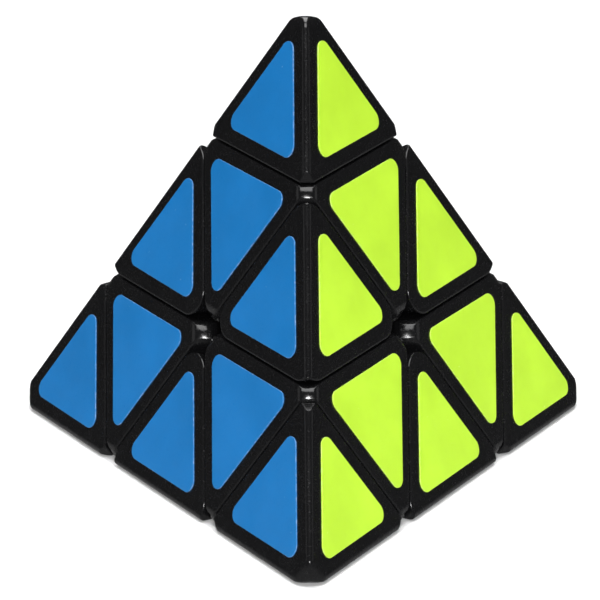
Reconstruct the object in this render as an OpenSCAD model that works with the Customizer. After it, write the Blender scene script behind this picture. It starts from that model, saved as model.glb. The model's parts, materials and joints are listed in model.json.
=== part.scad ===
// Pyramid twisty puzzle: four turning layers and four turning tips on one core.
// The frame's origin is the centre of the core, where the four turning axes meet.
// +Z runs through the top corner, and the front corner points towards -Y.

/* [Pyramid] */
// Edge of the sharp pyramid: 98 mm of it is left between two rounded tips
sharp_edge = 103.6; // [98:0.1:110]
// Gap between two pieces that turn past each other
seam = 0.3; // [0.2:0.05:0.4]
// How far the four corners are cut back along their axes
corner_trim = 4.3; // [3:0.1:6]
// How far the six long edges are cut back
edge_trim = 0.73; // [0.4:0.01:1.2]

/* [Piece corners] */
// Cut off each corner of an axial piece, measured along that corner's direction
axial_trim = 1.9; // [1.2:0.1:2.4]
// Cut off each lower corner of a tip, measured sideways from its axis
tip_trim = 1.8; // [1:0.1:2.4]
// Cut off the two ends of an edge piece, measured along the long edge
edge_end_trim = 2.1; // [1.2:0.1:3]
// Cut off the two inner corners of an edge piece, measured along its inner edge
edge_inner_trim = 2.3; // [1.6:0.1:3]

/* [Shells] */
// Wall of the tips, axial pieces and edge pieces
wall = 1.8; // [1.4:0.1:2.2]
// Thickness of the plate that closes the mouth of a tip
plate_t = 1.8; // [1.4:0.1:2.4]

/* [Stickers] */
// Thickness of the vinyl
sticker_t = 0.2; // [0.1:0.05:0.4]
// Radius of a sticker's corners
sticker_corner = 2.2; // [1:0.1:3]
// Margin round an axial piece's sticker
axial_margin = 2.4; // [1.8:0.1:3]
// Margin of a tip's sticker at the seam, then at the long edges
tip_margin = [2.9, 3.4]; // [2:0.1:4]
// Margin of an edge piece's sticker at the seams, then at the long edge
edge_margin = [3.0, 3.2]; // [2:0.1:4]

/* [Mechanism] */
// Radius of the ball in the middle of the core
ball_r = 7; // [6:0.1:7.4]
// Radius of the core's four arms
arm_r = 3; // [2.6:0.1:3.2]
// How far the arms reach from the centre
arm_end = 12.6; // [11:0.1:12.7]
// Inner radius of the feet, from the centre
foot_in = 11.5; // [11.2:0.1:12]
// Outer radius of the feet, from the centre
foot_out = 15.8; // [15:0.1:16]
// Offset of the layer planes between the feet, from the centre
foot_cut = 2; // [1.6:0.1:2.4]
// Radius at which the outer bodies end above the feet
body_in = 16.1; // [15.9:0.1:16.5]
// Radius of the joint between the inner mouldings and the shells
split_r = 18.4; // [17.9:0.1:19]
// Outer radius of an axial hub's tube
hub_r = 5.2; // [4.9:0.1:5.4]
// Radius of the well that holds spring, screw head and tip plug
well_r = 4; // [3.7:0.1:4.2]
// Start of the hub's tube, from the centre
hub_start = 8.2; // [8:0.1:8.6]
// Seat of the spring, from the centre
spring_seat = 14.9; // [14.5:0.1:15.3]
// Running clearance round an arm and a tip's plug
clearance = 0.1; // [0.08:0.01:0.15]
// Gap left in a joint that is pressed or glued
fit_gap = 0.05; // [0.03:0.01:0.08]

/* [Fasteners] */
// Radius of the screw's thread
screw_r = 1.4; // [1.2:0.1:1.5]
// Radius of the pilot bore in the core
pilot_r = 1.25; // [1.1:0.05:1.25]
// Radius of the screw's head
screw_head_r = 3; // [2.6:0.1:3.2]
// Height of the screw's head
head_t = 2.2; // [1.8:0.1:2.4]
// Length, width and depth of the cross recess in the screw's head
recess = [3.4, 0.7, 1.3]; // [0.6:0.1:4]
// Thickness of the washer under the head
washer_t = 0.6; // [0.4:0.1:0.8]
// Length of the spring as fitted
spring_len = 6; // [5:0.5:7]
// Radius of the spring's wire
wire_r = 0.35; // [0.3:0.05:0.4]
// Radius of the coil's middle line
coil_r = 2.6; // [2.3:0.1:2.9]
// Number of turns in the coil
coil_turns = 4.5; // [3:0.5:6]

/* [Hidden] */
CORNERS = ["top", "front", "left", "right"];
EDGES = ["top_front", "top_right", "top_left", "front_left", "right_front", "left_right"];
// The face opposite each corner has one colour
FACE_NAMES = ["green", "red", "yellow", "blue"];
FACE_COLORS = ["#1f9a4b", "#c8202b", "#cbf43c", "#1c7abe"];
PLASTIC = "#18191a";
CORE_PLASTIC = "#242527";
STEEL = "#b9bcc0";

// Angle between two turning axes
tilt = acos(-1 / 3);
// Distances from the centre to a sharp corner, a face and the middle of a long edge
corner_r = sharp_edge * sqrt(6) / 4;
face_r = sharp_edge * sqrt(6) / 12;
edge_r = sharp_edge * sqrt(2) / 4;
// Planes that cut a layer and a tip free, measured along their axis
layer_cut = face_r / 3;
tip_cut = face_r * 5 / 3;
// A face is cut into nine cells: their edge, height and the distance from centre to corner
cell = sharp_edge / 3;
cell_h = cell * sqrt(3) / 2;
half_seam = seam / 2;
big = 2 * sharp_edge;
// Planes where a tip's mouth and an axial piece's top lie
tip_mouth = tip_cut + half_seam;
axial_end = tip_cut - half_seam;
// Heights of the screw's point and head, and of the bottom of its pilot bore
screw_tip = 4.5;
head_start = spring_seat + spring_len + washer_t;
pilot_end = screw_tip - 1;
// Snap bead on a tip's plug, and the depth that its groove has round it
plug_end = tip_cut - 8;
plug_wall = 1.2;
bead_z = tip_cut - 6;
bead_r = 0.25;
groove_gap = 0.15;
// Floor of the hub under the spring
hub_floor = 2;
// Depth of an edge piece's plug inside its shell
plug_depth = 5;
// Steps of the spring's helix, and sides of its wire
coil_steps = 72;
wire_sides = 6;
// A tool cuts past the surface that it opens
past = 1;

// Directions from the centre: a turning axis, and the middle between two axes
function azimuth(k) = [0, -90, 150, 30][k];
function axis_dir(k) = k == 0 ? [0, 0, 1]
    : [sin(tilt) * cos(azimuth(k)), sin(tilt) * sin(azimuth(k)), cos(tilt)];
function between(a, b) = (axis_dir(a) + axis_dir(b)) / norm(axis_dir(a) + axis_dir(b));
function sideways(k) = [cos(azimuth(k)), sin(azimuth(k)), 0];

// Corner number on face f that the base face's corner c turns into, and the edge opposite it
function face_corner(f, c) = [[0, 1, 2, 3], [1, 0, 3, 2], [2, 0, 1, 3], [3, 0, 2, 1]][f][c];
function face_edge(f, c) = edge_name([for (k = [1:3]) if (k != c) face_corner(f, k)]);
function edge_name(pair) = [for (e = EDGES)
    if (e == str(CORNERS[pair[0]], "_", CORNERS[pair[1]])
        || e == str(CORNERS[pair[1]], "_", CORNERS[pair[0]])) e][0];
function sticker_name(kind, f, place) = str("sticker_", FACE_NAMES[f], "_", kind, "_", place);

// Turns the top corner onto corner k, and the pyramid onto itself
module to_corner(k) {
    if (k == 0) children();
    else rotate([0, 0, azimuth(k) + 90]) rotate([tilt, 0, 0]) rotate([0, 0, 180]) children();
}

// Turns the long edge between top and front onto edge e
module to_edge(e) {
    if (e < 3) rotate([0, 0, 120 * e]) children();
    else rotate([0, 0, 120 * (e - 3)]) to_corner(1) rotate([0, 0, 120]) children();
}

// Everything whose distance along dir is more than d
module beyond(dir, d) {
    rotate([0, acos(dir[2] / norm(dir)), atan2(dir[1], dir[0])])
        translate([-big / 2, -big / 2, d]) cube(big);
}

// A block bounded by planes, each given as [direction, distance]
module bounded(planes) {
    difference() {
        cube(big, center = true);
        for (p = planes) beyond(p[0], p[1]);
    }
}

// The top tip's outer form, its walls set in by inset
module tip_form(inset, from) {
    radial_r = cell / sqrt(3) - tip_trim;
    bounded(concat(
        [[[0, 0, -1], -from], [[0, 0, 1], corner_r - corner_trim - inset]],
        [for (k = [1:3]) [-axis_dir(k), face_r - inset]],
        [for (k = [1:3]) [between(0, k), edge_r - edge_trim - inset]],
        [for (k = [1:3]) [sideways(k), radial_r - inset]]
    ));
}

// The top axial piece's outer form
module axial_form(inset) {
    corner_cut = edge_r - axial_trim - inset;
    mid = [0, 0, face_r];
    bounded(concat(
        [[[0, 0, 1], axial_end - inset], [[0, 0, -1], -layer_cut - half_seam - inset]],
        [for (k = [1:3]) [-axis_dir(k), face_r - inset]],
        [for (k = [1:3]) [axis_dir(k), layer_cut - half_seam - inset]],
        [for (k = [1:3]) [between(0, k), corner_cut]],
        [for (k = [1:3]) [-between(0, k), corner_cut - 2 * mid * between(0, k)]]
    ));
}

// The outer form of the edge piece between top and front
module edge_form(inset) {
    outward = between(0, 1);
    along = [outward[0], -outward[2], outward[1]];
    bounded(concat(
        [[-axis_dir(0), -layer_cut - half_seam - inset], [-axis_dir(1), -layer_cut - half_seam - inset]],
        [for (k = [2:3]) [-axis_dir(k), face_r - inset]],
        [[outward, edge_r - edge_trim - inset]],
        [for (s = [-1, 1]) [s * along, cell / 2 - edge_end_trim - inset]],
        [for (s = [-1, 1]) [[s, 0, 0], cell / 2 - edge_inner_trim - inset]]
    ));
}

// A cylinder or cone along +Z between two heights
module rod(r, from, to) {
    translate([0, 0, from]) cylinder(r = r, h = to - from, $fn = 48);
}

// A ball about the centre fits every corner and edge, so it is never turned with a piece
module ball(r) {
    sphere(r = r, $fn = 96);
}

// Ball with four arms, each with a pilot bore for its screw
module core() {
    root = ball_r - 2;
    color(CORE_PLASTIC) difference() {
        union() {
            ball(ball_r);
            for (k = [0:3]) to_corner(k) rod(arm_r, root, arm_end);
        }
        for (k = [0:3]) to_corner(k) rod(pilot_r, pilot_end, arm_end + past);
    }
}

// Four screws, one along each axis, with a cross recess
module axial_screws() {
    head_top = head_start + head_t;
    color(STEEL) for (k = [0:3]) to_corner(k) difference() {
        union() {
            rod(screw_r, screw_tip, head_start);
            rod(screw_head_r, head_start, head_top);
        }
        for (turn = [0, 90]) rotate([0, 0, turn])
            translate([-recess[0] / 2, -recess[1] / 2, head_top - recess[2]])
                cube([recess[0], recess[1], recess[2] + past]);
    }
}

// Four washers between the screw heads and the springs
module axial_washers() {
    foot = head_start - washer_t;
    color(STEEL) for (k = [0:3]) to_corner(k) difference() {
        rod(screw_head_r + 2 * clearance, foot, head_start);
        rod(screw_r + clearance, foot - past, head_start + past);
    }
}

// Spring wire as rings of points swept up a helix
function coil_point(i, j) =
    let (turn = i * coil_turns * 360 / coil_steps,
        rise = wire_r + i * (spring_len - 2 * wire_r) / coil_steps,
        side = j * 360 / wire_sides,
        r = coil_r + wire_r * cos(side))
    [r * cos(turn), r * sin(turn), spring_seat + rise + wire_r * sin(side)];

module axial_springs() {
    n = wire_sides;
    points = [for (i = [0:coil_steps], j = [0:n - 1]) coil_point(i, j)];
    sides = [for (i = [0:coil_steps - 1], j = [0:n - 1])
        [i * n + j, (i + 1) * n + j, (i + 1) * n + (j + 1) % n, i * n + (j + 1) % n]];
    ends = [[for (j = [0:n - 1]) j], [for (j = [n - 1:-1:0]) coil_steps * n + j]];
    color(STEEL) for (k = [0:3]) to_corner(k) polyhedron(points, concat(sides, ends));
}

// Ring of round section about the axis, for the snap bead and its groove
module snap_ring(r, grow) {
    rotate_extrude($fn = 48) translate([r, bead_z]) circle(r = bead_r + grow, $fn = 16);
}

// Hub moulding of an axial piece: a round-bellied plate on a tube with a spring seat
module axial_hub(k) {
    top = axial_end - wall - fit_gap;
    difference() {
        union() {
            difference() {
                intersection() {
                    to_corner(k) axial_form(0);
                    ball(split_r - fit_gap);
                }
                ball(body_in);
            }
            to_corner(k) rod(hub_r, hub_start, top);
        }
        to_corner(k) {
            rod(arm_r + clearance, 0, spring_seat - hub_floor);
            rod(screw_r + 3 * clearance, 0, spring_seat + past);
            rod(well_r, spring_seat, top + past);
            snap_ring(well_r, groove_gap);
        }
    }
}

// Outer moulding of an axial piece, open towards the core
module axial_shell(k) {
    difference() {
        to_corner(k) difference() {
            axial_form(0);
            axial_form(wall);
            rod(well_r, 0, tip_cut + past);
        }
        ball(split_r);
    }
}

// Axial piece: its hub and its shell
module axial(k) {
    color(PLASTIC) {
        axial_hub(k);
        axial_shell(k);
    }
}

// Snap plug of a tip: a plate in the shell's mouth on a round stem
module tip_plug() {
    stem_r = well_r - clearance;
    overlap = plate_t / 3;
    intersection() {
        tip_form(wall + fit_gap, tip_mouth);
        rod(big, 0, tip_mouth + plate_t);
    }
    difference() {
        union() {
            rod(stem_r, plug_end, tip_mouth + overlap);
            snap_ring(stem_r, 0);
        }
        rod(stem_r - plug_wall, plug_end - past, tip_mouth - overlap);
    }
}

// Tip: a hollow shell and its snap plug
module tip(k) {
    color(PLASTIC) to_corner(k) {
        difference() {
            tip_form(0, tip_mouth);
            tip_form(wall, tip_mouth - past);
        }
        tip_plug();
    }
}

// Outer moulding of an edge piece, open towards the core
module edge(e) {
    color(PLASTIC) difference() {
        to_edge(e) difference() {
            edge_form(0);
            edge_form(wall);
        }
        ball(split_r);
    }
}

// Foot moulding of an edge piece: the part under the axial pieces, the neck and the plug
module foot(e) {
    low = foot_cut + half_seam;
    high = foot_cut - half_seam;
    color(PLASTIC) difference() {
        union() {
            intersection() {
                to_edge(e) bounded([[-axis_dir(0), -low], [-axis_dir(1), -low],
                    [axis_dir(2), high], [axis_dir(3), high]]);
                ball(foot_out);
            }
            intersection() {
                to_edge(e) edge_form(0);
                ball(split_r - fit_gap);
            }
            intersection() {
                to_edge(e) edge_form(wall + fit_gap);
                ball(split_r + plug_depth);
            }
        }
        ball(foot_in);
    }
}

// Outline of an upright triangle cell with its sides set in and its corners rounded
function sticker_outline(seam_in, side_in, r) =
    let (h = cell_h - seam_in - 2 * side_in - 3 * r,
        low = -cell_h / 3 + seam_in + r,
        mid = low + h / 3)
    [for (c = [0:2], step = [0:5])
        let (turn = 90 + 120 * c, a = turn - 60 + 24 * step)
        [h * 2 / 3 * cos(turn) + r * cos(a), mid + h * 2 / 3 * sin(turn) + r * sin(a)]];

// A sticker on the base face: its cell's centre is at distance out, in the direction of corner c
module base_sticker(c, out, flip, outline) {
    rotate([0, 0, azimuth(c)]) translate([out, 0, -face_r - sticker_t])
        rotate([0, 0, flip ? 90 : -90]) linear_extrude(sticker_t) polygon(outline);
}

// Stickers of a tip and of an axial piece, on the side towards corner c of the base face
module tip_sticker(f, c) {
    color(FACE_COLORS[f]) to_corner(f) base_sticker(c, cell_h * 4 / 3, false,
        sticker_outline(tip_margin[0], tip_margin[1], sticker_corner));
}

module axial_sticker(f, c) {
    color(FACE_COLORS[f]) to_corner(f) base_sticker(c, cell_h * 2 / 3, true,
        sticker_outline(axial_margin, axial_margin, sticker_corner));
}

// The edge cell lies opposite corner c, and its outer side is the long edge
module edge_sticker(f, c) {
    color(FACE_COLORS[f]) to_corner(f) base_sticker(c, -cell_h * 2 / 3, false,
        sticker_outline(edge_margin[1], edge_margin[0], sticker_corner));
}

core();
axial_screws();
axial_springs();
axial_washers();
for (k = [0:3]) {
    axial(k);
    tip(k);
}
for (e = [0:5]) {
    edge(e);
    foot(e);
}
for (f = [0:3], c = [1:3]) {
    place = CORNERS[face_corner(f, c)];
    tip_sticker(f, c);
    axial_sticker(f, c);
    edge_sticker(f, c);
}
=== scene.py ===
"""Looks of the pyramid puzzle: rounded shells, vinyl stickers, mechanism finishes, floor and light.

Shapes are worked out in millimetres and turned into metres when a piece is made.
The pieces of a corner are built once under the top corner, and those of a long edge
once between top and front; turns of the pyramid onto itself carry them to their places.
"""

import json
import math
import random

import bmesh
import bpy
from mathutils import Matrix, Vector


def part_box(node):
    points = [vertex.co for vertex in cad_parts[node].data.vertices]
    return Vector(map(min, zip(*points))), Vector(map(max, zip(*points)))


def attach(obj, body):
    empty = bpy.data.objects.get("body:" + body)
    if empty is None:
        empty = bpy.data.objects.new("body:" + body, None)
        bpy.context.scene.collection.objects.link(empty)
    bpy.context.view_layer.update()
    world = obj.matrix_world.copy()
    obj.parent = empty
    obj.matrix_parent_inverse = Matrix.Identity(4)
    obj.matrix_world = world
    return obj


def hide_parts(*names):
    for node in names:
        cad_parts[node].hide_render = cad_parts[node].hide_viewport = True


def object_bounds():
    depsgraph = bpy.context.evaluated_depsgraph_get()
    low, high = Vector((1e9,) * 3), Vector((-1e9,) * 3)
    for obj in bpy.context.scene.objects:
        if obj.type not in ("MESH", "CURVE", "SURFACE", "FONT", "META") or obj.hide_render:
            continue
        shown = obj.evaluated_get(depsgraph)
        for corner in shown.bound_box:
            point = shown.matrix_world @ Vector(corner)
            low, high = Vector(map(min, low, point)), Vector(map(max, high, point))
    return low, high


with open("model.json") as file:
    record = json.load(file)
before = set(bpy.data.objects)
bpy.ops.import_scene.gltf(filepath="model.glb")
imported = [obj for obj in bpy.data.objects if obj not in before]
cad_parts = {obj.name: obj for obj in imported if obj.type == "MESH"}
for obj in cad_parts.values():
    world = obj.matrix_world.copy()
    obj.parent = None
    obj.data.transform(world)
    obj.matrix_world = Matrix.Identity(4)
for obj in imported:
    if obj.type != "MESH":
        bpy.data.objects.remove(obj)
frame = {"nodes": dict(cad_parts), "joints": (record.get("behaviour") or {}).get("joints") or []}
CAD_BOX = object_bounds()

# ---------------------------------------------------------------- driving dimensions, mm
MM = 0.001
UP = Vector((0, 0, 1))
CORNERS = ["top", "front", "left", "right"]
EDGES = ["top_front", "top_right", "top_left", "front_left", "right_front", "left_right"]
OPPOSITE = {"green": "top", "red": "front", "yellow": "left", "blue": "right"}
AXIS = {
    j["name"].replace("_layer_turn", ""): Vector(j["axis"]).normalized()
    for j in frame["joints"]
    if j["name"].endswith("_layer_turn")
}

FACE = -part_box("edge_left_right")[0].z / MM  # centre of the core to a face
LAYER = FACE / 3  # the plane that cuts a layer free
TIP = FACE * 5 / 3  # the plane that cuts a tip free
HALF_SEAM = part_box("axial_top")[0].z / MM - LAYER
TIP_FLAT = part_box("tip_top")[1].z / MM  # the cut-off end of a tip
VINYL = -CAD_BOX[0].z / MM - FACE  # thickness of a sticker
CELL = FACE * math.sqrt(24) / 3  # side of one of a face's nine triangles
CELL_H = CELL * math.sqrt(3) / 2
LONG_EDGE = FACE * math.sqrt(3)  # centre to the middle of a long edge

WALL = 1.8
NUB_CUT = 1.9  # off the outer corners of an axial piece
HOLE_CUT = 2.3  # off its corners at the middle of a face
TIP_CUT = 2.4  # off the lower corners of a tip, sideways
END_CUT = 2.1  # off the ends of an edge piece
STAR_CUT = 4.5  # off its corners at the middle of a face, along the face
SPLIT_R = 18.4  # the shells start here
FIT_GAP = 0.05  # between two mouldings of one piece

SEAM_FILLET = 0.35
EDGE_FILLET = 1.0  # along the long edges
NUB_FILLET = 2.2
HOLE_FILLET = 2.85
END_FILLET = 2.4
STAR_FILLET = 3.4
FLAT_FILLET = 2.05  # round the cut-off end of a tip
MAX_FILLET = 4.0  # what an edge of full bevel weight gets
CLEAN = 0.002  # shorter edges than this are merged away

# mechanism, heights along a turning axis
WELL_R = 4.0  # hole in an axial shell for the tip's plug
HUB_R = 5.2
HUB_START = 8.2
BELLY_IN = 16.1
SPRING_SEAT = 14.9
SPRING_LEN = 6.0
COIL_R = 2.6
COIL_TURNS = 4.5
WIRE_R = 0.35
ARM_BORE = 3.1  # turns on the core's arm
SCREW_BORE = 1.7
SEAT_T = 2.0  # floor that the spring presses on
PLUG_R = 3.9
PLUG_WALL = 1.2
PLUG_EYE = 0.6  # hole through the middle of a plug
PLATE_T = 1.8
BEAD_Z = TIP - 6
BEAD = 0.25  # snap bead on a plug
GROOVE = 0.4  # its groove in the hub
PLUG_END = TIP - 8
LAP = 0.2  # how far two shapes overlap before they are made one


def between(a, b):
    """Direction halfway between two turning axes."""
    return (AXIS[a] + AXIS[b]).normalized()


def to_corner(corner):
    """Turn that carries the top corner onto another, and the pyramid onto itself."""
    if corner == "top":
        return Matrix.Identity(4)
    axis = AXIS[corner]
    around = Matrix.Rotation(math.atan2(axis.y, axis.x) + math.pi / 2, 4, "Z")
    tilt = Matrix.Rotation(UP.angle(axis), 4, "X")
    return around @ tilt @ Matrix.Rotation(math.pi, 4, "Z")


def to_edge(edge):
    """Turn that carries the long edge between top and front onto another."""
    e = EDGES.index(edge)
    round_z = Matrix.Rotation(math.radians(120 * (e % 3)), 4, "Z")
    if e < 3:
        return round_z
    return round_z @ to_corner("front") @ Matrix.Rotation(math.radians(120), 4, "Z")


# ---------------------------------------------------------------- mesh tools
def place_object(name, data):
    obj = bpy.data.objects.new(name, data)
    bpy.context.scene.collection.objects.link(obj)
    return obj


def cut(bm, kind, direction, distance):
    """Takes away what lies beyond a plane, closes the cut and marks the new face with its kind."""
    layer = bm.faces.layers.int["kind"]
    d = direction.normalized()
    made = bmesh.ops.bisect_plane(
        bm,
        geom=bm.verts[:] + bm.edges[:] + bm.faces[:],
        dist=1e-5,
        plane_co=d * distance,
        plane_no=d,
        clear_outer=True,
    )
    rim = [g for g in made["geom_cut"] if isinstance(g, bmesh.types.BMEdge)]
    if rim:
        for f in bmesh.ops.contextual_create(bm, geom=rim)["faces"]:
            f[layer] = kind


def block(planes):
    """A closed solid bounded by planes, each given as (kind, direction, distance)."""
    bm = bmesh.new()
    bmesh.ops.create_cube(bm, size=40 * FACE)
    bm.faces.layers.int.new("kind")
    for kind, direction, distance in planes:
        cut(bm, kind, direction, distance)
    bmesh.ops.recalc_face_normals(bm, faces=bm.faces[:])
    return bm


def mark_fillets(bm, radii, sharp=0.3):
    """Gives each sharp edge the fillet that the kinds of its two faces call for."""
    kind = bm.faces.layers.int["kind"]
    layers = bm.edges.layers.float
    weight = layers.get("bevel_weight_edge") or layers.new("bevel_weight_edge")
    for e in bm.edges:
        radius = radii.get(frozenset(f[kind] for f in e.link_faces), 0)
        turn = e.calc_face_angle()
        e[weight] = radius * math.tan(turn / 2) / MAX_FILLET if turn > sharp else 0


def temporary(bm, name):
    """A scratch object for modifiers to work on, with slots for the faces and the worn fillets."""
    mesh = bpy.data.meshes.new(name)
    bm.to_mesh(mesh)
    bm.free()
    for _ in range(2):
        mesh.materials.append(None)
    return place_object(name, mesh)


def settle(obj, cutters=()):
    """The mesh of a scratch object with its modifiers, as a bmesh. The scratch objects go."""
    bpy.context.view_layer.update()
    evaluated = obj.evaluated_get(bpy.context.evaluated_depsgraph_get())
    bm = bmesh.new()
    bm.from_mesh(evaluated.to_mesh())
    evaluated.to_mesh_clear()
    bmesh.ops.remove_doubles(bm, verts=bm.verts[:], dist=CLEAN)
    bmesh.ops.dissolve_degenerate(bm, edges=bm.edges[:], dist=CLEAN)
    for o in (obj, *cutters):
        mesh = o.data
        bpy.data.objects.remove(o)
        bpy.data.meshes.remove(mesh)
    return bm


def fillet(bm, segments=6):
    """Rounds the edges as mark_fillets has marked them."""
    obj = temporary(bm, "rounding")
    bevel = obj.modifiers.new("fillets", "BEVEL")
    bevel.limit_method = "WEIGHT"
    bevel.width = MAX_FILLET
    bevel.segments = segments
    bevel.profile = 0.5
    bevel.material = 1
    bevel.use_clamp_overlap = False
    bevel.loop_slide = False
    return settle(obj)


def carve(bm, *tools, operation="DIFFERENCE"):
    """Takes closed tool shapes out of a solid, or keeps or adds what they share."""
    obj = temporary(bm, "carving")
    cutters = [temporary(t, "tool") for t in tools]
    for c in cutters:
        boolean = obj.modifiers.new("cut", "BOOLEAN")
        boolean.operation = operation
        boolean.solver = "EXACT"
        boolean.object = c
    return settle(obj, cutters)


def ball(radius, segments=96):
    """A sphere about the centre of the core."""
    bm = bmesh.new()
    bmesh.ops.create_uvsphere(bm, u_segments=segments, v_segments=segments // 2, radius=radius)
    return bm


def rod(radius, low, high, segments=64):
    """A closed cylinder along the top axis."""
    bm = bmesh.new()
    bmesh.ops.create_cone(
        bm, cap_ends=True, segments=segments, radius1=radius, radius2=radius, depth=high - low
    )
    bmesh.ops.translate(bm, verts=bm.verts[:], vec=UP * (high + low) / 2)
    return bm


def turned(profile, segments=64):
    """A round piece: a closed outline of radii and heights spun about the top axis."""
    bm = bmesh.new()
    points = [bm.verts.new((r, 0, z)) for r, z in profile]
    outline = [bm.edges.new((a, b)) for a, b in zip(points, points[1:] + points[:1])]
    bmesh.ops.spin(
        bm,
        geom=points + outline,
        cent=(0, 0, 0),
        axis=UP,
        angle=2 * math.pi,
        steps=segments,
        use_merge=True,
    )
    bmesh.ops.recalc_face_normals(bm, faces=bm.faces[:])
    return bm


def half_round(radius, height, size, steps=6):
    """Points of a half-round bead that stands out from a cylinder, going up."""
    turns = [math.pi * (i / steps - 0.5) for i in range(steps + 1)]
    return [(radius + size * math.cos(a), height + size * math.sin(a)) for a in turns]


# ---------------------------------------------------------------- pieces of the object
def make_piece(name, bm, turn, body, replaced, materials):
    """A finished piece of the object at its place, riding on its body."""
    mesh = bpy.data.meshes.new(name)
    bm.to_mesh(mesh)
    mesh.transform(Matrix.Scale(MM, 4) @ turn)
    obj = place_object(name, mesh)
    for m in materials:
        mesh.materials.append(m)
    weighted = obj.modifiers.new("even shading", "WEIGHTED_NORMAL")
    weighted.keep_sharp = True
    weighted.weight = 100
    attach(obj, body)
    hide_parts(*replaced)
    return obj


def shade(bm, sharp=math.radians(40)):
    """Smooth fillets with crisp machined edges."""
    for f in bm.faces:
        f.smooth = True
    for e in bm.edges:
        e.smooth = e.is_manifold and e.calc_face_angle(0) < sharp
    return bm


FACE_KIND, SEAM_KIND, NUB_KIND, HOLE_KIND, FLAT_KIND = 1, 2, 3, 4, 5


def tip_planes(inset=0.0, mouth=None):
    """Planes of the top tip, or of the hollow in it; mouth is the height of its open end."""
    mouth = TIP + HALF_SEAM if mouth is None else mouth
    others = CORNERS[1:]
    lower = CELL / math.sqrt(3) - TIP_CUT
    sideways = {k: Vector((AXIS[k].x, AXIS[k].y, 0)).normalized() for k in others}
    return (
        [(FACE_KIND, -AXIS[k], FACE - inset) for k in others]
        + [(SEAM_KIND, -UP, -mouth), (FLAT_KIND, UP, TIP_FLAT - inset)]
        + [(NUB_KIND, sideways[k], lower - inset) for k in others]
    )


def axial_planes(inset=0.0):
    """Planes of the axial piece under the top tip."""
    others = CORNERS[1:]
    nub = LONG_EDGE - NUB_CUT - inset
    middle = UP * FACE
    return (
        [(FACE_KIND, -AXIS[k], FACE - inset) for k in others]
        + [(SEAM_KIND, UP, TIP - HALF_SEAM - inset), (SEAM_KIND, -UP, -LAYER - HALF_SEAM - inset)]
        + [(SEAM_KIND, AXIS[k], LAYER - HALF_SEAM - inset) for k in others]
        + [(NUB_KIND, between("top", k), nub) for k in others]
        + [
            (HOLE_KIND, -between("top", k), LONG_EDGE - HOLE_CUT - inset - 2 * middle @ between("top", k))
            for k in others
        ]
    )


def edge_planes(inset=0.0):
    """Planes of the edge piece between the top and front corners."""
    outward = between("top", "front")
    along = Vector((0, -outward.z, outward.y))
    inward = {k: -AXIS[k] * FACE - outward * LONG_EDGE for k in ("left", "right")}
    return (
        [(SEAM_KIND, -AXIS[k], -LAYER - HALF_SEAM - inset) for k in ("top", "front")]
        + [(FACE_KIND, -AXIS[k], FACE - inset) for k in ("left", "right")]
        + [(NUB_KIND, s * along, CELL / 2 - END_CUT - inset) for s in (-1, 1)]
        + [(HOLE_KIND, inward[k], -STAR_CUT - inset) for k in ("left", "right")]
    )


def meeting(a, b):
    """Key for the edges where two kinds of plane meet."""
    return frozenset((a, b))


# each piece's large fillets, and then the small ones that run round its outlines
OUTLINES = {
    meeting(FACE_KIND, SEAM_KIND): SEAM_FILLET,
    meeting(FACE_KIND, HOLE_KIND): SEAM_FILLET,
    meeting(FACE_KIND, NUB_KIND): SEAM_FILLET,
    meeting(SEAM_KIND, NUB_KIND): SEAM_FILLET,
}
TIP_FILLETS = [
    {
        meeting(FACE_KIND, FACE_KIND): EDGE_FILLET,
        meeting(FACE_KIND, FLAT_KIND): FLAT_FILLET,
    },
    OUTLINES,
]
EDGE_FILLETS = [
    {
        meeting(FACE_KIND, FACE_KIND): EDGE_FILLET,
        meeting(SEAM_KIND, NUB_KIND): END_FILLET,
        meeting(SEAM_KIND, HOLE_KIND): STAR_FILLET,
    },
    OUTLINES,
]
AXIAL_FILLETS = [
    {
        meeting(FACE_KIND, NUB_KIND): NUB_FILLET,
        meeting(SEAM_KIND, NUB_KIND): NUB_FILLET,
        meeting(FACE_KIND, HOLE_KIND): HOLE_FILLET,
        meeting(SEAM_KIND, HOLE_KIND): HOLE_FILLET,
    },
    {
        meeting(FACE_KIND, SEAM_KIND): SEAM_FILLET,
        meeting(SEAM_KIND, SEAM_KIND): SEAM_FILLET,
    },
]


def rounded(planes, passes):
    """A block with its fillets, the large ones before the small."""
    bm = block(planes)
    for radii in passes:
        mark_fillets(bm, radii)
        bm = fillet(bm)
    return bm


def tip_shell():
    """Hollow tip, open at its seam; the tool that hollows it starts below the mouth."""
    inside = block(tip_planes(WALL, TIP + HALF_SEAM - 1))
    return shade(carve(rounded(tip_planes(), TIP_FILLETS), inside))


def axial_shell():
    """Hollow axial piece without its belly, with the well for the tip's plug."""
    hollows = (block(axial_planes(WALL)), ball(SPLIT_R), rod(WELL_R, 0, TIP + 1))
    return shade(carve(rounded(axial_planes(), AXIAL_FILLETS), *hollows))


def edge_shell():
    """Hollow edge piece, cut round where it rides past the core."""
    return shade(carve(rounded(edge_planes(), EDGE_FILLETS), block(edge_planes(WALL)), ball(SPLIT_R)))


def axial_hub():
    """Round-bellied plate on a tube that holds the spring and takes the tip's plug."""
    top = TIP - HALF_SEAM - WALL - FIT_GAP
    under_seat = SPRING_SEAT - SEAT_T
    tube = turned(
        [(ARM_BORE, HUB_START), (HUB_R, HUB_START), (HUB_R, top), (WELL_R, top)]
        + half_round(WELL_R, BEAD_Z, GROOVE)[::-1]
        + [(WELL_R, SPRING_SEAT), (SCREW_BORE, SPRING_SEAT)]
        + [(SCREW_BORE, under_seat), (ARM_BORE, under_seat)]
    )
    belly = carve(rounded(axial_planes(), AXIAL_FILLETS), ball(SPLIT_R - FIT_GAP), operation="INTERSECT")
    belly = carve(belly, ball(BELLY_IN), rod(HUB_R - LAP, 0, TIP))
    return shade(carve(belly, tube, operation="UNION"))


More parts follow.
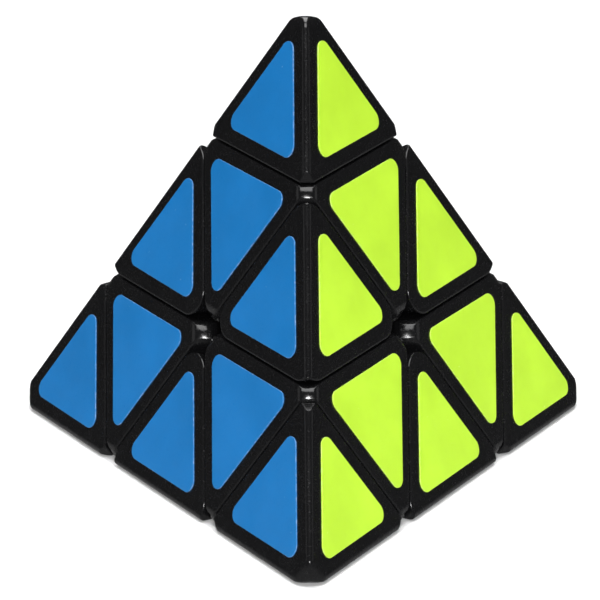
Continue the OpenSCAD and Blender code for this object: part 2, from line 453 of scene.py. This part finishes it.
def tip_plug():
    """Plate that closes a tip, with the round stem that snaps into the hub."""
    mouth = TIP + HALF_SEAM
    sunk = PLATE_T / 3
    plate = block(tip_planes(WALL + FIT_GAP, mouth) + [(SEAM_KIND, UP, mouth + PLATE_T)])
    inner = PLUG_R - PLUG_WALL
    stem = turned(
        [(inner, PLUG_END), (PLUG_R, PLUG_END)]
        + half_round(PLUG_R, BEAD_Z, BEAD)
        + [(PLUG_R, mouth + sunk), (PLUG_EYE, mouth + sunk)]
        + [(PLUG_EYE, mouth - sunk), (inner, mouth - sunk)]
    )
    return shade(carve(plate, stem, operation="UNION"))


def spring_coil(sides=12, steps_a_turn=32):
    """Spring wire swept up its helix, and closed at both ends."""
    steps = round(COIL_TURNS * steps_a_turn)
    rise = SPRING_LEN - 2 * WIRE_R
    bm = bmesh.new()
    bmesh.ops.create_circle(bm, segments=sides, radius=WIRE_R)
    stand = Matrix.Translation((COIL_R, 0, SPRING_SEAT + WIRE_R)) @ Matrix.Rotation(math.pi / 2, 4, "X")
    bmesh.ops.transform(bm, matrix=stand, verts=bm.verts[:])
    bmesh.ops.spin(
        bm,
        geom=bm.verts[:] + bm.edges[:],
        cent=(0, 0, 0),
        axis=UP,
        dvec=UP * rise / steps,
        angle=2 * math.pi * COIL_TURNS,
        steps=steps,
    )
    bmesh.ops.holes_fill(bm, edges=[e for e in bm.edges if e.is_boundary], sides=sides)
    bmesh.ops.recalc_face_normals(bm, faces=bm.faces[:])
    return shade(bm, math.radians(60))


# ---------------------------------------------------------------- stickers
hand = random.Random(7)
STICKER_R = 1.8  # round a sticker's corners
VINYL_ROLL = 0.35  # share of the vinyl's thickness that its cut edge rounds over
AXIAL_MARGIN = 2.5
TIP_MARGIN = (3.0, 3.5)  # at the seam, then at the long edges
EDGE_MARGIN = (3.1, 3.3)  # at the seams, then at the long edge
SLIP = 0.1  # how far a sticker strays from its place
TWIST = math.radians(0.3)


def sticker(base_margin, side_margin, radius=STICKER_R, steps=12):
    """Vinyl triangle in its own plane, apex towards +Y, centred on its cell."""
    tall = CELL_H - base_margin - 2 * side_margin - 3 * radius
    low = -CELL_H / 3 + base_margin + radius
    middle = Vector((0, low + tall / 3, 0))
    bm = bmesh.new()
    ring = bmesh.ops.create_circle(bm, cap_ends=True, segments=3 * steps, radius=radius)["verts"]
    half_step = Matrix.Rotation(math.pi / (3 * steps), 4, "Z")
    bmesh.ops.transform(bm, matrix=half_step, verts=ring)
    thirds = []
    for c in range(3):
        a = math.radians(90 + 120 * c)
        towards = Vector((math.cos(a), math.sin(a), 0))
        thirds.append((towards, [v for v in ring if v.co.angle(towards) < math.pi / 3]))
    for towards, arc in thirds:
        bmesh.ops.translate(bm, verts=arc, vec=middle + towards * tall * 2 / 3)
    top = bmesh.ops.extrude_face_region(bm, geom=bm.faces[:])["geom"]
    bmesh.ops.translate(bm, verts=[g for g in top if isinstance(g, bmesh.types.BMVert)], vec=UP * VINYL)
    bmesh.ops.recalc_face_normals(bm, faces=bm.faces[:])
    rim = [e for e in bm.edges if all(v.co.z > VINYL / 2 for v in e.verts)]
    roll = VINYL * VINYL_ROLL
    bmesh.ops.bevel(bm, geom=rim, offset=roll, segments=2, profile=0.5, affect="EDGES", material=-1)
    for f in bm.faces:
        f.material_index = int(abs(f.normal.z) < 0.99)
    return shade(bm, math.radians(60))


def stray(limit):
    """A small error of hand work, never more than twice the limit."""
    return max(-2 * limit, min(2 * limit, hand.gauss(0, limit)))


def sticker_place(colour, kind, place):
    """Where a sticker lies: its cell's centre on the face, and the way its apex points."""
    out = -AXIS[OPPOSITE[colour]]
    if kind == "edge":
        ends = place.split("_") + [OPPOSITE[colour]]
        corner = next(c for c in CORNERS if c not in ends)
    else:
        corner = place
    towards = AXIS[corner] - AXIS[corner].project(out)
    towards.normalize()
    reach = {"tip": 4 / 3, "axial": 2 / 3, "edge": -2 / 3}[kind] * CELL_H
    apex = -towards if kind == "axial" else towards
    centre = out * FACE + towards * reach
    across = apex.cross(out)
    turn = Matrix((across, apex, out)).transposed().to_4x4()
    slip = Matrix.Translation((stray(SLIP), stray(SLIP), 0)) @ Matrix.Rotation(stray(TWIST), 4, "Z")
    return Matrix.Translation(centre) @ turn @ slip


# ---------------------------------------------------------------- materials
SATIN = 0.38  # specular levels
DULL = 0.15
BLACK = (0.0042, 0.0042, 0.0046)
WORN_BLACK = (0.0046, 0.0046, 0.005)
SCUFFED = (0.02, 0.02, 0.021)
CORE_GREY = (0.011, 0.011, 0.012)
CORE_SCUFFED = (0.03, 0.03, 0.03)
STEEL = (0.56, 0.56, 0.57)
DULL_STEEL = (0.38, 0.37, 0.33)
FLOOR_WHITE = (0.93, 0.93, 0.93)
VINYL_COLOURS = {
    "blue": (0.004, 0.15, 0.42),
    "yellow": (0.47, 0.76, 0.035),
    "red": (0.5, 0.012, 0.016),
    "green": (0.008, 0.27, 0.06),
}


def finish(name, colour, roughness, metallic=0.0, specular=0.5):
    """A material with its even values set on the shader itself."""
    material = bpy.data.materials.new(name)
    material.use_nodes = True
    shader = material.node_tree.nodes["Principled BSDF"]
    shader.inputs["Base Color"].default_value = (*colour, 1)
    shader.inputs["Roughness"].default_value = roughness
    shader.inputs["Metallic"].default_value = metallic
    shader.inputs["Specular IOR Level"].default_value = specular
    return material, material.node_tree, shader


def join(tree, source, node, socket):
    """Links an output to a named or numbered input."""
    tree.links.new(source, node.inputs[socket])


def grain(tree, size, detail=2.0, stretch=(1, 1, 1), turn=(0, 0, 0)):
    """Noise with blotches about so many millimetres across, drawn out by stretch."""
    where = tree.nodes.new("ShaderNodeTexCoord")
    mapping = tree.nodes.new("ShaderNodeMapping")
    mapping.inputs["Rotation"].default_value = turn
    mapping.inputs["Scale"].default_value = [1 / (size * s * MM) for s in stretch]
    noise = tree.nodes.new("ShaderNodeTexNoise")
    noise.inputs["Scale"].default_value = 1.0
    noise.inputs["Detail"].default_value = detail
    join(tree, where.outputs["Object"], mapping, "Vector")
    join(tree, mapping.outputs["Vector"], noise, "Vector")
    return noise.outputs["Fac"]


def ranged(tree, value, low, high, to_low, to_high):
    """A value stretched from one range to another, and held at its ends."""
    node = tree.nodes.new("ShaderNodeMapRange")
    for socket, number in (("From Min", low), ("From Max", high), ("To Min", to_low), ("To Max", to_high)):
        node.inputs[socket].default_value = number
    join(tree, value, node, "Value")
    return node.outputs["Result"]


def total(tree, *values):
    """Sum of values."""
    so_far = values[0]
    for v in values[1:]:
        node = tree.nodes.new("ShaderNodeMath")
        node.operation = "ADD"
        join(tree, so_far, node, 0)
        join(tree, v, node, 1)
        so_far = node.outputs["Value"]
    return so_far


def mixed(tree, amount, first, second):
    """Colour that goes from first to second; first may be a colour or an output."""
    node = tree.nodes.new("ShaderNodeMix")
    node.data_type = "RGBA"
    join(tree, amount, node, "Factor")
    start, end = (s for s in node.inputs if s.type == "RGBA")
    if isinstance(first, bpy.types.NodeSocket):
        tree.links.new(first, start)
    else:
        start.default_value = (*first, 1)
    end.default_value = (*second, 1)
    return next(s for s in node.outputs if s.type == "RGBA")


def relief(tree, shader, height, distance):
    """Bump with its height in metres."""
    node = tree.nodes.new("ShaderNodeBump")
    node.inputs["Distance"].default_value = distance
    join(tree, height, node, "Height")
    join(tree, node.outputs["Normal"], shader, "Normal")


def scratches(tree, strength):
    """Fine hairlines in three directions, from 0 to strength."""
    lines = [
        ranged(tree, grain(tree, 0.35, 1.0, stretch, turn), 0.68, 0.74, 0, strength)
        for stretch, turn in (
            ((1, 1, 40), (0.4, 0.9, 0.2)),
            ((1, 40, 1), (0.3, -0.5, 0.8)),
            ((40, 1, 1), (1.1, 0.2, -0.6)),
        )
    ]
    return total(tree, *lines)


def moulded_plastic(name, colour, scuffed, roughness, wear):
    """Black plastic with a fine moulded skin, handling marks and, where worn, polished scuffs."""
    material, tree, shader = finish(name, colour, roughness, specular=SATIN)
    smudges = ranged(tree, grain(tree, 9, 3), 0.35, 0.7, roughness - 0.04, roughness + 0.07)
    skin = grain(tree, 0.3, 2)
    fine = ranged(tree, skin, 0.3, 0.7, -0.015, 0.015)
    lines = scratches(tree, 0.1 + 0.12 * wear)
    join(tree, total(tree, smudges, fine, lines), shader, "Roughness")
    nicks = ranged(tree, grain(tree, 0.9, 5), 0.69 - 0.05 * wear, 0.76, 0, 0.15 + 0.45 * wear)
    join(tree, mixed(tree, nicks, colour, scuffed), shader, "Base Color")
    relief(tree, shader, total(tree, skin, lines, ranged(tree, grain(tree, 2.2, 1), 0, 1, 0, 4)), 2.2e-6)
    return material


def printed_vinyl(name, colour, edge=False):
    """Satin vinyl, slightly uneven, with hairlines and pale nicks."""
    pale = [c + (1 - c) * 0.35 for c in colour]
    deep = [c * 0.93 for c in colour]
    light = [min(1, c * 1.05 + 0.002) for c in colour]
    base = [c + (1 - c) * 0.03 for c in colour] if edge else colour
    material, tree, shader = finish(name, base, 0.4, specular=DULL if edge else SATIN)
    if edge:
        trim = ranged(tree, grain(tree, 0.6, 3), 0.45, 0.75, 0, 0.5)
        join(tree, mixed(tree, trim, base, pale), shader, "Base Color")
        join(tree, ranged(tree, grain(tree, 0.3, 2), 0.3, 0.7, 0.55, 0.75), shader, "Roughness")
        return material
    cloud = ranged(tree, grain(tree, 11, 3), 0.32, 0.68, 0, 1)
    nicks = ranged(tree, grain(tree, 0.7, 4), 0.735, 0.78, 0, 0.7)
    join(tree, mixed(tree, nicks, mixed(tree, cloud, deep, light), pale), shader, "Base Color")
    skin = grain(tree, 0.25, 2)
    lines = scratches(tree, 0.12)
    patches = ranged(tree, grain(tree, 5, 3), 0.35, 0.7, 0.34, 0.44)
    join(tree, total(tree, patches, lines, ranged(tree, skin, 0.3, 0.7, -0.02, 0.02)), shader, "Roughness")
    relief(tree, shader, total(tree, skin, ranged(tree, grain(tree, 4.5, 1), 0, 1, 0, 8)), 4e-6)
    return material


def plated_steel(name, colour):
    """Bright plating with fine drawn marks and duller patches."""
    material, tree, shader = finish(name, colour, 0.3, metallic=1.0)
    marks = grain(tree, 0.15, 3, (4, 4, 1))
    join(tree, ranged(tree, marks, 0.3, 0.7, 0.2, 0.4), shader, "Roughness")
    dull = ranged(tree, grain(tree, 1.5, 3), 0.4, 0.75, 0, 1)
    join(tree, mixed(tree, dull, colour, DULL_STEEL), shader, "Base Color")
    relief(tree, shader, marks, 4e-6)
    return material


plastic = moulded_plastic("black_plastic", BLACK, SCUFFED, 0.2, 0.2)
worn_plastic = moulded_plastic("black_plastic_worn", WORN_BLACK, SCUFFED, 0.18, 0.6)
core_plastic = moulded_plastic("core_plastic", CORE_GREY, CORE_SCUFFED, 0.48, 0.2)
steel = plated_steel("steel", STEEL)
vinyl = {
    c: [printed_vinyl(f"vinyl_{c}", rgb), printed_vinyl(f"vinyl_{c}_edge", rgb, True)]
    for c, rgb in VINYL_COLOURS.items()
}

# ---------------------------------------------------------------- building the object
black = [plastic, worn_plastic]
mouldings = {
    "tip": {"shell": tip_shell(), "plug": tip_plug()},
    "axial": {"shell": axial_shell(), "hub": axial_hub()},
    "edge": {"shell": edge_shell()},
}
places = [(kind, corner, to_corner(corner)) for corner in CORNERS for kind in ("tip", "axial")]
places += [("edge", edge, to_edge(edge)) for edge in EDGES]
for kind, place, turn in places:
    node = f"{kind}_{place}"
    for part, shape in mouldings[kind].items():
        make_piece(f"{node}_{part}", shape, turn, node, [node], black)

coil = spring_coil()
for corner in CORNERS:
    make_piece(f"spring_{corner}", coil, to_corner(corner), "core", ["axial_springs"], [steel])

sticker_shapes = {
    "tip": sticker(*TIP_MARGIN),
    "axial": sticker(AXIAL_MARGIN, AXIAL_MARGIN),
    "edge": sticker(EDGE_MARGIN[1], EDGE_MARGIN[0]),
}
for node in sorted(n for n in frame["nodes"] if n.startswith("sticker_")):
    _, colour, kind, place = node.split("_", 3)
    make_piece(
        node.replace("sticker", "vinyl"),
        sticker_shapes[kind],
        sticker_place(colour, kind, place),
        f"{kind}_{place}",
        [node],
        vinyl[colour],
    )

CARRIED_OVER = {"core": core_plastic, "axial_screws": steel, "axial_washers": steel}
for node, obj in frame["nodes"].items():
    if node in CARRIED_OVER or node.startswith("foot_"):
        obj.data.materials.clear()
        obj.data.materials.append(CARRIED_OVER.get(node, plastic))

# ---------------------------------------------------------------- floor, light and camera
GROUND = CAD_BOX[0].z
FLOOR_RADIUS = 0.3


def make_floor():
    """A white disc that stays out of the gloss, where the room shows instead."""
    bm = bmesh.new()
    bmesh.ops.create_circle(bm, cap_ends=True, segments=96, radius=FLOOR_RADIUS)
    bmesh.ops.translate(bm, verts=bm.verts[:], vec=UP * GROUND)
    mesh = bpy.data.meshes.new("floor")
    bm.to_mesh(mesh)
    bm.free()
    floor = place_object("floor", mesh)
    mesh.materials.append(finish("floor_white", FLOOR_WHITE, 0.9)[0])
    floor.visible_glossy = False


def stand_facing(name, data, azimuth, elevation, distance, aim):
    """Sets a light or camera up to look at a point; azimuth 0 is in front, and goes round to the right."""
    a, e = math.radians(azimuth), math.radians(elevation)
    out = Vector((math.sin(a) * math.cos(e), -math.cos(a) * math.cos(e), math.sin(e)))
    obj = place_object(name, data)
    obj.location = aim + out * distance
    obj.rotation_euler = out.to_track_quat("Z", "Y").to_euler()
    return obj


def softbox(name, azimuth, elevation, distance, size, power):
    """A square light that faces the middle of the puzzle."""
    data = bpy.data.lights.new(name, "AREA")
    data.size = size
    data.energy = power
    stand_facing(name, data, azimuth, elevation, distance, Vector())


def make_room(dim, below):
    """A white backdrop all round that hardly lights the puzzle; gloss shows it dim, and paler below."""
    world = bpy.data.worlds.new("room")
    bpy.context.scene.world = world
    world.use_nodes = True
    tree = world.node_tree
    walls = tree.nodes["Background"]
    walls.inputs["Color"].default_value = (1, 1, 1, 1)
    seen = tree.nodes.new("ShaderNodeLightPath")
    where = tree.nodes.new("ShaderNodeTexCoord")
    axes = tree.nodes.new("ShaderNodeSeparateXYZ")
    join(tree, where.outputs["Generated"], axes, "Vector")
    gloss = ranged(tree, axes.outputs["Z"], -0.3, 0, below, dim)
    backdrop = ranged(tree, seen.outputs["Is Camera Ray"], 0, 1, 0, 1.1)
    join(tree, total(tree, gloss, backdrop), walls, "Strength")


def make_camera(azimuth, elevation, distance, aim, lens):
    data = bpy.data.cameras.new("camera")
    data.lens = lens
    data.sensor_width = 36
    data.clip_start, data.clip_end = 0.05, 20
    bpy.context.scene.camera = stand_facing("camera", data, azimuth, elevation, distance, aim)


make_floor()
softbox("key", 0, 22, 1.1, 0.2, 10.5)
softbox("overhead", 0, 84, 1.0, 0.8, 12)
softbox("fill_left", -85, 22, 1.4, 0.4, 0.28)
softbox("fill_right", 85, 22, 1.4, 0.4, 0.28)
softbox("back", 180, 48, 1.3, 0.6, 5)
make_room(0.05, 0.35)
bpy.context.scene.view_settings.view_transform = "Standard"
make_camera(-0.692, 19.881, 0.89727, Vector((-0.000907, 0, 0.00845)), 314.2)
